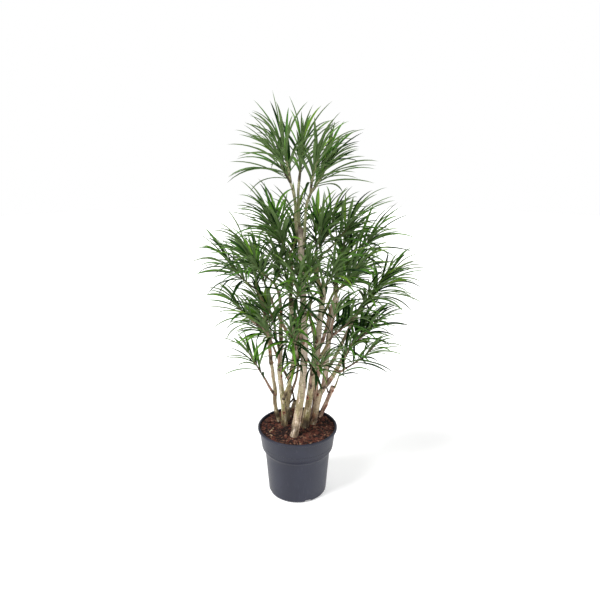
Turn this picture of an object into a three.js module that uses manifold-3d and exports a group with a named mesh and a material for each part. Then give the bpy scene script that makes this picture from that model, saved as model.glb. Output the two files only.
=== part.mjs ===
// A multi-stem house plant in a nursery pot: bare leaning canes carry boughs, and the boughs end
// in masses of narrow arching leaves. Millimetres, +Z up, origin at the middle of the pot's underside.
import * as THREE from "three";
import { mergeVertices } from "three/addons/utils/BufferGeometryUtils.js";
import Module from "manifold-3d";

const wasm = await Module();
wasm.setup();
const { lerp, clamp, degToRad } = THREE.MathUtils;

// The pot, from its flat underside up to the lip
const potHeight = 276;
const rimRadius = 155;
const footRadius = 114;
const shoulderRadius = 127.4;
const shoulderHeight = 172;
const collarRadius = 140.2;
const collarHeight = 196;
const lipHeight = 9;
const lipProud = 5.5;
const lipBevel = 1.5;
const wallThickness = 2.4;
const floorThickness = 12;
const edgeRounding = 9;
const edgeSteps = 3;
const turns = 40;

// Drain notches in the pot's bottom edge
const notchCount = 4;
const notchWidth = 30;
const notchHeight = 10;
const notchDepth = 12;
const firstNotch = 292;

const soilTop = 267;
const gap = 0.3;
const seed = 77;

// Leaves. Each stands for two or three of the real plant's, which are narrower
const leafLength = 190;
const leafWidth = 21;
const leafThickness = 2.4;
const leavesPerShoot = 11;
const fewestLeaves = 8;
const leafyLength = 105;
const youngLength = 0.84;
const oldTilt = 1.1;
const youngTilt = 0.24;
const oldDroop = 0.95;
const youngDroop = 0.7;
const lowLength = 0.76;
const fullLengthHeights = [600, 1050];

// The leaf that stands upright at the very top, on the first shoot of its mass
const topLeaf = { mass: "top_left", length: 211, droop: 0.12, heading: new THREE.Vector3(-0.13, 0, 1) };

const goldenAngle = Math.PI * (3 - Math.sqrt(5));
const cellMargin = 1;
const limbMargin = 1.5;

// A leaf that meets its neighbours' space is tried again shorter and steeper
const tries = [
  { length: 1, tilt: 1 },
  { length: 0.84, tilt: 0.85 },
  { length: 0.7, tilt: 0.7 },
  { length: 0.56, tilt: 0.6 },
];

// Rows of a leaf from tip to root: how far along each lies, and its share of the full width
const leafRows = [
  { along: 1, width: 0 },
  { along: 0.44, width: 1 },
  { along: 0, width: 0 },
];

// The stem inside a mass, from its foot up to the fork where its shoots part
const stemGirth = 9.2;
const stemBelowHeart = 112;
const forkAboveFoot = 26;
const shootGirth = [6.8, 4.8];
const shootSpread = 40;
const shootAboveHeart = [14, 34];
const shootPull = 45;
const shootSplayHeight = 22;

// Girth of a bough at its foot and at its tip
const usual = [14, 10];
const thin = [11.5, 9.6];
const stout = [20, 13];
const none = null;

// Canes: foot on the soil, points on the way up, cut tip, and girth at foot and tip
const rootFlare = 3.2;
const flareHeight = 16;
const canes = [
  {
    name: "cane_left",
    foot: [-73, 43],
    way: [[-90, 43, 352], [-89, 43, 412], [-104, 43, 546]],
    tip: [-118, 43, 697],
    girth: [16.5, 12],
  },
  {
    name: "cane_left_forked",
    foot: [-51, 14],
    way: [[-54, 14, 345], [-68, 14, 496], [-64, 14, 578]],
    tip: [-60, 14, 660],
    girth: [23, 14],
  },
  { name: "cane_left_stub", foot: [-36, 86], way: [[-21, 84, 306]], tip: [-10, 82, 340], girth: [17, 15] },
  {
    name: "cane_tall",
    foot: [-13, -67],
    way: [[17, -50, 455], [27, -32, 620], [23, -18, 767]],
    tip: [10, 2, 1056],
    girth: [31, 19],
  },
  {
    name: "cane_middle",
    foot: [27, 1],
    way: [[54, 1, 443], [62, 1, 520], [87, 0, 731]],
    tip: [100, 0, 850],
    girth: [29, 19],
  },
  {
    name: "cane_right_forked",
    foot: [61, 25],
    way: [[84, 25, 385], [104, 25, 440], [113, 24, 550], [123, 22, 664]],
    tip: [146, 22, 792],
    girth: [26, 17],
  },
  { name: "cane_right_stub", foot: [90, 87], way: [[128, 88, 360]], tip: [143, 88, 400], girth: [18, 16] },
  {
    name: "cane_back_left",
    foot: [-44, 60],
    way: [[-33, 75, 413], [-12, 98, 560]],
    tip: [-30, 125, 775],
    girth: [20, 14],
  },
  {
    name: "cane_back_right",
    foot: [60, 68],
    way: [[74, 80, 397], [86, 110, 600]],
    tip: [96, 140, 815],
    girth: [20, 15],
  },
];

// Masses of leaves: name, side in degrees from +X towards +Y, reach from the pot's axis, height of the
// heart, number of shoots, the limb that carries the mass and the height at which it leaves that limb,
// and the girth of its bough, or none where its own stem grows straight from the limb
const massRows = [
  ["top_left", 192, 52, 1298, 2, "cane_tall", 1000, usual],
  ["top_back", 70, 48, 1300, 1, "cane_tall", 1020, none],
  ["top_right", 354, 80, 1262, 2, "cane_tall", 975, thin],
  ["upper_left", 200, 78, 1046, 2, "cane_tall", 800, usual],
  ["upper_right", 343, 132, 1048, 2, "cane_middle", 790, usual],
  ["upper_far_right", 8, 212, 990, 2, "cane_right_forked", 735, usual],
  ["upper_back_left", 110, 116, 1030, 2, "cane_back_left", 735, usual],
  ["upper_back_right", 54, 168, 1036, 2, "cane_back_right", 770, usual],
  ["middle_far_left", 179, 196, 908, 2, "cane_left", 655, usual],
  ["middle_left", 216, 140, 952, 2, "cane_left_forked", 632, usual],
  ["middle_front", 262, 126, 890, 2, "cane_tall", 620, usual],
  ["middle_front_right", 305, 135, 908, 2, "cane_middle", 620, usual],
  ["middle_right", 351, 178, 902, 2, "cane_middle", 720, none],
  ["middle_far_right", 2, 303, 836, 2, "cane_right_forked", 500, usual],
  ["middle_back_left", 135, 216, 880, 2, "cane_back_left", 585, usual],
  ["middle_back", 88, 205, 900, 2, "cane_back_right", 660, usual],
  ["middle_back_right", 39, 257, 868, 2, "cane_back_right", 560, usual],
  ["low_far_left", 177, 168, 752, 2, "cane_left", 520, usual],
  ["low_left", 214, 132, 735, 2, "cane_left_forked", 500, none],
  ["low_front", 266, 112, 722, 2, "cane_left_forked", 380, usual],
  ["low_right", 337, 184, 748, 2, "cane_middle", 530, usual],
  ["low_far_right", 358, 258, 690, 2, "cane_right_forked", 425, stout],
  ["low_back_left", 134, 196, 668, 2, "cane_back_left", 430, none],
  ["low_back_right", 45, 230, 660, 2, "cane_back_right", 430, usual],
  ["lowest_left", 187, 168, 562, 1, "cane_left", 385, none],
  ["lowest_front", 318, 105, 590, 2, "cane_middle", 430, none],
  ["lowest_right", 345, 232, 612, 2, "bough_low_far_right", 500, none],
  ["lowest_back", 89, 150, 556, 2, "cane_back_left", 350, none],
];

const finishes = {
  pot: new THREE.MeshStandardMaterial({ color: 0x4d505b, roughness: 0.45, metalness: 0 }),
  soil: new THREE.MeshStandardMaterial({ color: 0x4b3730, roughness: 0.95, metalness: 0 }),
  bark: new THREE.MeshStandardMaterial({ color: 0x97896c, roughness: 0.8, metalness: 0 }),
  boughBark: new THREE.MeshStandardMaterial({ color: 0x8a8a5e, roughness: 0.7, metalness: 0 }),
  leaf: new THREE.MeshStandardMaterial({ color: 0x3f6b2a, roughness: 0.42, metalness: 0 }),
};

// A repeatable random number from 0 to 1, by the mulberry method
function makeRandom(start) {
  let state = start;
  return () => {
    state = (state + 0x6d2b79f5) | 0;
    let mixed = Math.imul(state ^ (state >>> 15), 1 | state);
    mixed = (mixed + Math.imul(mixed ^ (mixed >>> 7), 61 | mixed)) ^ mixed;
    return ((mixed ^ (mixed >>> 14)) >>> 0) / 4294967296;
  };
}
const random = makeRandom(seed);
const between = (low, high) => lerp(low, high, random());

// A three.js geometry as a solid that can be joined and cut
function solidOf(geometry) {
  const bare = geometry.clone();
  bare.deleteAttribute("normal");
  bare.deleteAttribute("uv");
  const merged = mergeVertices(bare, 1e-3);
  const vertProperties = new Float32Array(merged.attributes.position.array);
  const triVerts = new Uint32Array(merged.index.array);
  return new wasm.Manifold(new wasm.Mesh({ numProp: 3, vertProperties, triVerts }));
}

// The largest body of a solid, so loose scraps are dropped and sealed hollows filled
function mainBody(solid) {
  const bodies = solid.decompose();
  return bodies.reduce((best, body) => (body.volume() > best.volume() ? body : best));
}

// A solid as a named mesh of its own material
function meshOf(name, solid, finish) {
  const { vertProperties, triVerts } = solid.getMesh();
  const geometry = new THREE.BufferGeometry();
  geometry.setAttribute("position", new THREE.BufferAttribute(new Float32Array(vertProperties), 3));
  geometry.setIndex(new THREE.BufferAttribute(new Uint32Array(triVerts), 1));
  geometry.computeVertexNormals();
  const mesh = new THREE.Mesh(geometry, finish.clone());
  mesh.name = name;
  return mesh;
}

// A profile of [radius, height] pairs turned about the pot's axis
function turned(profile) {
  const points = profile.map(([radius, height]) => new THREE.Vector2(radius, height));
  return solidOf(new THREE.LatheGeometry(points, turns).rotateX(Math.PI / 2));
}

// Outer radius of the pot's wall: a tapered body, a rounded shoulder and a flaring collar
const lipFoot = potHeight - lipHeight;
const collarTopRadius = rimRadius - lipProud;
function wallRadius(height) {
  if (height <= shoulderHeight) return lerp(footRadius, shoulderRadius, height / shoulderHeight);
  if (height <= collarHeight) {
    const share = (height - shoulderHeight) / (collarHeight - shoulderHeight);
    return lerp(shoulderRadius, collarRadius, (1 - Math.cos(Math.PI * share)) / 2);
  }
  return lerp(collarRadius, collarTopRadius, (height - collarHeight) / (lipFoot - collarHeight));
}
const shoulderShares = [0, 0.35, 0.65, 1];
const shoulderHeights = shoulderShares.map((share) => lerp(shoulderHeight, collarHeight, share));

// The notch that drains the pot, cut at each bearing from the bottom edge
function notchSolid(bearing) {
  const notch = new THREE.BoxGeometry(2 * notchDepth, notchWidth, 2 * notchHeight);
  notch.translate(footRadius, 0, 0);
  notch.rotateZ(degToRad(bearing));
  return solidOf(notch);
}

function makePot() {
  const roundedEdge = [];
  for (let step = 0; step <= edgeSteps; step++) {
    const angle = ((step / edgeSteps) * Math.PI) / 2;
    const radius = wallRadius(edgeRounding) - edgeRounding * (1 - Math.sin(angle));
    roundedEdge.push([radius, edgeRounding * (1 - Math.cos(angle))]);
  }
  const wallHeights = [...shoulderHeights, lipFoot];
  const outside = wallHeights.map((height) => [wallRadius(height), height]);
  const lip = [
    [rimRadius, lipFoot + lipBevel],
    [rimRadius, potHeight - lipBevel],
    [rimRadius - lipBevel, potHeight],
    [collarTopRadius - wallThickness, potHeight],
  ];
  const inside = wallHeights.map((height) => [wallRadius(height) - wallThickness, height]).reverse();
  inside.push([wallRadius(floorThickness) - wallThickness, floorThickness]);
  let solid = turned([[0, 0], ...roundedEdge, ...outside, ...lip, ...inside, [0, floorThickness]]);
  for (let index = 0; index < notchCount; index++) {
    solid = solid.subtract(notchSolid(firstNotch + (index * 360) / notchCount));
  }
  return meshOf("pot", solid, finishes.pot);
}

function makeSoil() {
  const bottom = floorThickness + gap;
  const heights = [bottom, ...shoulderHeights, soilTop];
  const side = heights.map((height) => [wallRadius(height) - wallThickness - gap, height]);
  return meshOf("soil", turned([[0, bottom], ...side, [0, soilTop]]), finishes.soil);
}

// A limb: a curve with the rings of its tapering surface. A flared limb has a flat foot, and its
// rings lie closer together there
const ringCrowding = 1.5;
function makeLimb({ name, curve, girth, sides, steps, flare = 0 }) {
  const length = curve.getLength();
  const chord = curve.getPoint(1).sub(curve.getPoint(0));
  const across = new THREE.Vector3(chord.y, -chord.x, 0).normalize();
  const rings = [];
  for (let step = 0; step <= steps; step++) {
    const along = (step / steps) ** (flare ? ringCrowding : 1);
    const tangent = curve.getTangentAt(along);
    const side = across.clone().addScaledVector(tangent, -across.dot(tangent)).normalize();
    const other = tangent.clone().cross(side);
    const swell = flare * Math.exp((-along * length) / flareHeight);
    const radius = lerp(girth[0], girth[1], along) / 2 + swell;
    rings.push({ centre: curve.getPointAt(along), tangent, side, other, radius });
  }
  return { name, curve, rings, sides, flatFoot: flare > 0 };
}

// The closed solid of a limb, grown all round by a margin
function limbSolid(limb, margin = 0) {
  const steps = limb.rings.length - 1;
  const geometry = new THREE.CylinderGeometry(1, 1, 1, limb.sides, steps);
  const positions = geometry.attributes.position;
  const vertex = new THREE.Vector3();
  const grown = margin / Math.cos(Math.PI / limb.sides);
  for (let index = 0; index < positions.count; index++) {
    vertex.fromBufferAttribute(positions, index);
    const ring = limb.rings[Math.round((vertex.y + 0.5) * steps)];
    const point = ring.centre.clone();
    point.addScaledVector(ring.other, vertex.x * (ring.radius + grown));
    point.addScaledVector(ring.side, vertex.z * (ring.radius + grown));
    if (limb.flatFoot && ring === limb.rings[0]) {
      point.addScaledVector(ring.tangent, (ring.centre.z - point.z) / ring.tangent.z);
    }
    positions.setXYZ(index, point.x, point.y, point.z);
  }
  return solidOf(geometry);
}

const caneSides = 8;
const caneRingSpacing = 62;
function caneLimb({ name, foot, way, tip, girth }) {
  const points = [[...foot, soilTop + gap], ...way, tip].map((point) => new THREE.Vector3(...point));
  const curve = new THREE.CatmullRomCurve3(points, false, "catmullrom", 0.5);
  const steps = Math.max(4, Math.round(curve.getLength() / caneRingSpacing));
  return makeLimb({ name, curve, girth, sides: caneSides, steps, flare: rootFlare });
}

// How far along a rising limb a height is reached
function alongAtHeight(limb, height) {
  let low = 0;
  let high = 1;
  for (let halving = 0; halving < 24; halving++) {
    const middle = (low + high) / 2;
    if (limb.curve.getPointAt(middle).z < height) low = middle;
    else high = middle;
  }
  return low;
}

// The curve of a side limb: it parts from its carrier outwards and upwards, and ends along a heading
const partUp = 0.25;
const partOut = 0.35;
function sideCurve(carrier, height, end, heading) {
  const along = alongAtHeight(carrier, height);
  const start = carrier.curve.getPointAt(along);
  const way = end.clone().sub(start);
  const third = way.length() / 3;
  const outward = new THREE.Vector3(way.x, way.y, 0).normalize();
  const parting = way.normalize().addScaledVector(carrier.curve.getTangentAt(along), partUp).normalize();
  parting.addScaledVector(outward, partOut).normalize();
  const first = start.clone().addScaledVector(parting, third);
  const second = end.clone().addScaledVector(heading, -third);
  return new THREE.CubicBezierCurve3(start, first, second, end);
}

// A mass: its heart, the way it leans outwards, and the foot and fork of its stem
const leastLean = 0.25;
const leanPerReach = 0.0017;
function placeMass([name, side, reach, height, shoots, carrier, from, boughGirth]) {
  const bearing = degToRad(side);
  const outward = new THREE.Vector3(Math.cos(bearing), Math.sin(bearing), 0);
  const heart = outward.clone().multiplyScalar(reach).setZ(height);
  const lean = leastLean + reach * leanPerReach;
  const heading = new THREE.Vector3(0, 0, 1).addScaledVector(outward, lean).normalize();
  const foot = heart.clone().addScaledVector(heading, -stemBelowHeart);
  const fork = foot.clone().addScaledVector(heading, forkAboveFoot);
  return { name, shoots, carrier, from, boughGirth, heart, heading, foot, fork };
}

// How far a point lies outside a limb
function clearance(point, limb) {
  let nearest = Infinity;
  const line = new THREE.Line3();
  const closest = new THREE.Vector3();
  for (let index = 1; index < limb.rings.length; index++) {
    const lower = limb.rings[index - 1];
    const upper = limb.rings[index];
    line.set(lower.centre, upper.centre);
    line.closestPointToPoint(point, true, closest);
    nearest = Math.min(nearest, closest.distanceTo(point) - Math.max(lower.radius, upper.radius));
  }
  return nearest;
}

// True where a point lies in its mass's own space, which ends halfway to the heart of each other mass
function inOwnSpace(point, mass, masses) {
  return masses.every((other) => {
    if (other === mass) return true;
    const apart = 2 * other.heart.distanceTo(mass.heart);
    const nearer = point.distanceToSquared(other.heart) - point.distanceToSquared(mass.heart);
    return nearer / apart > cellMargin;
  });
}

// A leaf's line: it sets off along a heading and bends down as it goes
function leafLine(root, heading, length, droop) {
  const level = new THREE.Vector3(heading.x, heading.y, 0).normalize();
  const rise = Math.asin(clamp(heading.z, -1, 1));
  const pointAt = (along) => {
    const angle = rise - droop * along;
    const out = (Math.sin(rise) - Math.sin(angle)) / droop;
    const up = (Math.cos(angle) - Math.cos(rise)) / droop;
    return root.clone().addScaledVector(level, out * length).add(new THREE.Vector3(0, 0, up * length));
  };
  const upwardAt = (along) => {
    const angle = rise - droop * along;
    return level.clone().multiplyScalar(-Math.sin(angle)).setZ(Math.cos(angle));
  };
  return { pointAt, upwardAt, sideways: new THREE.Vector3(-level.y, level.x, 0) };
}

// The blade of a leaf, pointed at both ends, with two edges and a keel below them
function leafGeometry(line) {
  const columns = 3;
  const geometry = new THREE.SphereGeometry(1, columns, leafRows.length - 1);
  const positions = geometry.attributes.position;
  const vertex = new THREE.Vector3();
  for (let index = 0; index < positions.count; index++) {
    vertex.fromBufferAttribute(positions, index);
    const row = leafRows[Math.floor(index / (columns + 1))];
    const point = line.pointAt(row.along);
    const edge = (vertex.z / Math.sin(Math.PI / 3)) * row.width;
    const keel = row.width > 0 && vertex.x < 0 ? leafThickness : 0;
    point.addScaledVector(line.sideways, (edge * leafWidth) / 2);
    point.addScaledVector(line.upwardAt(row.along), -keel);
    positions.setXYZ(index, point.x, point.y, point.z);
  }
  return geometry;
}

// True where a leaf's corners all lie in its mass's space and its line is clear of the other limbs
const lineSamples = 14;
const rootSamples = 3;
function leafFits(line, geometry, mass, masses, limbs) {
  const positions = geometry.attributes.position;
  for (let index = 0; index < positions.count; index++) {
    const corner = new THREE.Vector3().fromBufferAttribute(positions, index);
    if (!inOwnSpace(corner, mass, masses)) return false;
  }
  for (let index = 0; index <= lineSamples; index++) {
    const point = line.pointAt(index / lineSamples);
    for (const limb of limbs) {
      const nearRoot = limb.owner !== undefined && index < rootSamples;
      if (limb.owner === mass.name || nearRoot) continue;
      if (clearance(point, limb) < leafWidth / 2 + limbMargin) return false;
    }
  }
  return true;
}

// One shoot of a mass, from the stem's fork to its tip, splayed out to one side
function shootLimb(mass, turn, lift) {
  const spread = mass.shoots > 1 ? shootSpread : 0;
  const sideways = new THREE.Vector3(Math.cos(turn), Math.sin(turn), 0);
  const start = mass.fork.clone().addScaledVector(mass.heading, -shootGirth[0] / 3);
  const tip = mass.heart.clone().addScaledVector(mass.heading, lift).addScaledVector(sideways, spread);
  const first = start.clone().addScaledVector(mass.heading, shootSplayHeight);
  first.addScaledVector(sideways, spread / 2);
  const second = tip.clone().addScaledVector(mass.heading, -shootPull);
  const curve = new THREE.CubicBezierCurve3(start, first, second, tip);
  return makeLimb({ name: mass.name, curve, girth: shootGirth, sides: 3, steps: 4 });
}

// The shoots that part evenly from a mass's stem. One that would touch another limb is left out
function shootLimbs(mass, limbs) {
  const firstTurn = between(0, 2 * Math.PI);
  const others = limbs.filter((limb) => limb.owner !== mass.name && limb.name !== "bough_" + mass.name);
  const shoots = [];
  for (let index = 0; index < mass.shoots; index++) {
    const turn = firstTurn + (index * 2 * Math.PI) / mass.shoots;
    const shoot = shootLimb(mass, turn, between(...shootAboveHeart));
    const isFree = (limb) => shoot.rings.every((ring) => clearance(ring.centre, limb) > shootGirth[0]);
    if (others.every(isFree)) shoots.push(shoot);
  }
  return shoots;
}

// Leaves low on the plant stay shorter, and the lowest tier has fewer of them
function lengthAt(height) {
  const [low, full] = fullLengthHeights;
  return lerp(lowLength, 1, clamp((height - low) / (full - low), 0, 1));
}
const leavesOn = (mass) => (mass.name.startsWith("lowest") ? fewestLeaves : leavesPerShoot);

// The leaves of one shoot, a golden angle apart: old ones low and spreading, young ones steep
function leafSolids(shoot, isFirst, mass, masses, limbs) {
  const start = 1 - leafyLength / shoot.curve.getLength();
  const firstTurn = between(0, 2 * Math.PI);
  const count = leavesOn(mass);
  const leaves = [];
  for (let index = 0; index < count; index++) {
    const young = index / (count - 1);
    const along = lerp(Math.max(0.15, start), 0.97, young);
    const axis = shoot.curve.getTangentAt(along);
    const turn = firstTurn + index * goldenAngle;
    const isTop = isFirst && mass.name === topLeaf.mass && index === count - 1;
    const tilt = lerp(oldTilt, youngTilt, young) + between(-0.1, 0.1);
    let droop = lerp(oldDroop, youngDroop, young) + between(-0.12, 0.12);
    let length = leafLength * lengthAt(mass.heart.z) * lerp(1, youngLength, young) * between(0.88, 1.08);
    if (isTop) ({ droop, length } = topLeaf);
    const outward = new THREE.Vector3(Math.cos(turn), Math.sin(turn), 0);
    outward.addScaledVector(axis, -outward.dot(axis)).normalize();
    for (const attempt of tries) {
      const angle = tilt * attempt.tilt;
      let heading = axis.clone().multiplyScalar(Math.cos(angle)).addScaledVector(outward, Math.sin(angle));
      if (isTop) heading = topLeaf.heading.clone().normalize();
      const root = shoot.curve.getPointAt(along).addScaledVector(heading, -shootGirth[1] / 4);
      const line = leafLine(root, heading, length * attempt.length, droop);
      const geometry = leafGeometry(line);
      if (leafFits(line, geometry, mass, masses, limbs)) {
        leaves.push(solidOf(geometry));
        break;
      }
    }
  }
  return leaves;
}

// A mass's bough, and its stem: from the bough's tip, or straight from the limb that carries it
function boughLimb(mass, carrier) {
  const curve = sideCurve(carrier, mass.from, mass.foot, mass.heading);
  const name = "bough_" + mass.name;
  return { ...makeLimb({ name, curve, girth: mass.boughGirth, sides: 5, steps: 5 }), carrier };
}

function stemLimb(mass, carrier) {
  const girth = [stemGirth, stemGirth];
  if (mass.boughGirth === none) {
    const curve = sideCurve(carrier, mass.from, mass.fork, mass.heading);
    return { ...makeLimb({ name: mass.name, curve, girth, sides: 3, steps: 6 }), owner: mass.name, carrier };
  }
  const start = mass.foot.clone().addScaledVector(mass.heading, gap);
  const curve = new THREE.LineCurve3(start, mass.fork);
  return { ...makeLimb({ name: mass.name, curve, girth, sides: 3, steps: 1 }), owner: mass.name };
}

// The limb's solid, cut clear of the limb that it grows from
function seatedSolid(limb) {
  if (!limb.carrier) return limbSolid(limb);
  return mainBody(limbSolid(limb).subtract(limbSolid(limb.carrier, gap)));
}

// Limbs come first, so that every leaf can be kept clear of all of them
const masses = massRows.map(placeMass);
const caneLimbs = canes.map(caneLimb);
const carriers = new Map(caneLimbs.map((limb) => [limb.name, limb]));
const boughLimbs = [];
const stemLimbs = [];
for (const mass of masses) {
  const carrier = carriers.get(mass.carrier);
  if (mass.boughGirth !== none) {
    const bough = boughLimb(mass, carrier);
    boughLimbs.push(bough);
    carriers.set(bough.name, bough);
  }
  stemLimbs.push(stemLimb(mass, carrier));
}
const limbs = [...caneLimbs, ...boughLimbs, ...stemLimbs];

function makeMass(mass, stem) {
  let solid = seatedSolid(stem);
  shootLimbs(mass, limbs).forEach((shoot, index) => {
    solid = solid.add(limbSolid(shoot));
    for (const leaf of leafSolids(shoot, index === 0, mass, masses, limbs)) solid = solid.add(leaf);
  });
  return meshOf("leaves_" + mass.name, mainBody(solid), finishes.leaf);
}

const plant = new THREE.Group();
plant.add(makePot(), makeSoil());
for (const limb of caneLimbs) plant.add(meshOf(limb.name, limbSolid(limb), finishes.bark));
for (const limb of boughLimbs) plant.add(meshOf(limb.name, seatedSolid(limb), finishes.boughBark));
masses.forEach((mass, index) => plant.add(makeMass(mass, stemLimbs[index])));

export default plant;
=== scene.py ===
# Potted multi-stem dracaena: its looks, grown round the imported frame. Metres, +Z up.
import math
import random

import bmesh
import bpy
import numpy as np
from mathutils import Matrix, Vector, noise


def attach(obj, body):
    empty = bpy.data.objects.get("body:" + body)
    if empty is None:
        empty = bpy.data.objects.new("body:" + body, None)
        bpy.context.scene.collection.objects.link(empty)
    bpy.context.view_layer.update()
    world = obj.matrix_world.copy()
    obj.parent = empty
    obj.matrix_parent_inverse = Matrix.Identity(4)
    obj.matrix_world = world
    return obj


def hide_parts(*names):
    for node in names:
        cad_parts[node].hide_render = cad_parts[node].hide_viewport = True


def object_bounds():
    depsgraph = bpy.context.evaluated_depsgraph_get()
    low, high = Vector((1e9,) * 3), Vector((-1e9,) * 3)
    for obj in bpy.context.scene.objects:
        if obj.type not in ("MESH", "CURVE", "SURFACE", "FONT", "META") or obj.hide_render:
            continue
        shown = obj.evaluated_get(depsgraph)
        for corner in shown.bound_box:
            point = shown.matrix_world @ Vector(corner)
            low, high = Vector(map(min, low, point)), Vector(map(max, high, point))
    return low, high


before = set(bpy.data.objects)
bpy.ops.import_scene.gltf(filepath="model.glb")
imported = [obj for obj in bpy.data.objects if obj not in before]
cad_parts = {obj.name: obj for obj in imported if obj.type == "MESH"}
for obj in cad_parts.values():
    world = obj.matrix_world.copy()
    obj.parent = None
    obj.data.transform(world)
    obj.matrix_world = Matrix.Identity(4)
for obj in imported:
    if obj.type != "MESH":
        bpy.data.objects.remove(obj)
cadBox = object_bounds()
scene = bpy.context.scene
print("frame loaded,", len(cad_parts), "nodes")


# Camera, floor and light

cameraView = {"place": (0.010, -2.0, 1.385), "pitchDown": 16.6, "lens": 34.08, "sensor": 36.0}
floorSize = {"radius": 9.0, "sides": 96, "glow": 0.25}
lamps = [  # name, direction towards the lamp, spread in degrees, strength
    ("keyLamp", (-0.75, -0.45, 1.15), 26, 3.1),
    ("fillLamp", (0.9, -0.35, 0.8), 60, 1.15),
    ("backLamp", (0.1, 0.75, 1.1), 60, 0.8),
    ("frontLamp", (0.15, -1.0, 0.45), 30, 0.6),
]
skyLight = {"white": (1.0, 1.0, 1.0, 1.0), "seen": 1.0, "cast": 0.2}


def addObject(name, data):
    added = bpy.data.objects.new(name, data)
    scene.collection.objects.link(added)
    return added


def addCamera(settings):
    data = bpy.data.cameras.new("photoCamera")
    data.lens = settings["lens"]
    data.sensor_width = settings["sensor"]
    scene.camera = addObject("photoCamera", data)
    scene.camera.location = settings["place"]
    scene.camera.rotation_euler = (math.radians(90 - settings["pitchDown"]), 0, 0)


def addLamp(name, towards, spread, strength):
    data = bpy.data.lights.new(name, "SUN")
    data.angle = math.radians(spread)
    data.energy = strength
    lamp = addObject(name, data)
    lamp.location = Vector(towards) * 3
    lamp.rotation_euler = Vector(towards).to_track_quat("Z", "Y").to_euler()


# A new node, with its settings made and each input linked to a socket or set to a value
def addNode(tree, kind, inputs=None, **settings):
    node = tree.nodes.new(kind)
    for key, value in settings.items():
        setattr(node, key, value)
    for key, value in (inputs or {}).items():
        if isinstance(value, bpy.types.NodeSocket):
            tree.links.new(value, node.inputs[key])
        else:
            node.inputs[key].default_value = value
    return node


def addSky(settings):
    world = bpy.data.worlds.new("studioSky")
    world.use_nodes = True
    tree = world.node_tree
    cast = tree.nodes["Background"]
    cast.inputs["Color"].default_value = settings["white"]
    cast.inputs["Strength"].default_value = settings["cast"]
    seen = addNode(tree, "ShaderNodeBackground", {"Color": settings["white"], "Strength": settings["seen"]})
    isSeen = addNode(tree, "ShaderNodeLightPath").outputs["Is Camera Ray"]
    choice = addNode(tree, "ShaderNodeMixShader", {0: isSeen, 1: cast.outputs[0], 2: seen.outputs[0]})
    tree.links.new(choice.outputs[0], tree.nodes["World Output"].inputs["Surface"])
    scene.world = world


addCamera(cameraView)
for lampSettings in lamps:
    addLamp(*lampSettings)
addSky(skyLight)
scene.view_settings.view_transform = "Standard"


# Shader groups and colours

def srgb(red, green, blue):
    def linear(value):
        share = value / 255
        return share / 12.92 if share <= 0.04045 else ((share + 0.055) / 1.055) ** 2.4
    return (linear(red), linear(green), linear(blue), 1.0)


# A group that makes a mask from a place and these numbers: the group, its inputs and the mask's socket
def newGroup(name, **numbers):
    group = bpy.data.node_groups.new(name, "ShaderNodeTree")
    group.interface.new_socket("Vector", in_out="INPUT", socket_type="NodeSocketVector")
    for key, value in numbers.items():
        socket = group.interface.new_socket(key, in_out="INPUT", socket_type="NodeSocketFloat")
        socket.default_value = value
    group.interface.new_socket("Mask", in_out="OUTPUT", socket_type="NodeSocketFloat")
    ins = group.nodes.new("NodeGroupInput").outputs
    return group, ins, group.nodes.new("NodeGroupOutput").inputs["Mask"]


# Soft patches, rings or cracks: noise that may run finer along one axis, between two levels
def makeUnevenness():
    group, ins, mask = newGroup("unevenness", Across=40.0, Along=40.0, Detail=4.0, Low=0.4, High=0.6)
    across = ins["Across"]
    scale = addNode(group, "ShaderNodeCombineXYZ", {"X": across, "Y": across, "Z": ins["Along"]})
    stretched = addNode(group, "ShaderNodeVectorMath", {0: ins["Vector"], 1: scale.outputs[0]},
                        operation="MULTIPLY")
    grain = addNode(group, "ShaderNodeTexNoise", {
        "Vector": stretched.outputs[0], "Scale": 1.0, "Detail": ins["Detail"]})
    levels = addNode(group, "ShaderNodeMapRange", {
        "Value": grain.outputs["Fac"], "From Min": ins["Low"], "From Max": ins["High"],
    }, interpolation_type="SMOOTHSTEP")
    group.links.new(levels.outputs["Result"], mask)
    return group


# Small round marks scattered over a surface, such as pores, grit and dust
def makeSpots():
    group, ins, mask = newGroup("spots", Scale=200.0, Size=0.25, Softness=0.1)
    cells = addNode(group, "ShaderNodeTexVoronoi", {"Vector": ins["Vector"], "Scale": ins["Scale"]})
    edge = addNode(group, "ShaderNodeMath", {0: ins["Size"], 1: ins["Softness"]}, operation="ADD")
    levels = addNode(group, "ShaderNodeMapRange", {
        "Value": cells.outputs["Distance"], "From Min": ins["Size"], "From Max": edge.outputs[0],
        "To Min": 1.0, "To Max": 0.0})
    group.links.new(levels.outputs["Result"], mask)
    return group


unevenness = makeUnevenness()
spots = makeSpots()


bandFade = 1.6  # where a band has faded out, in half widths


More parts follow.
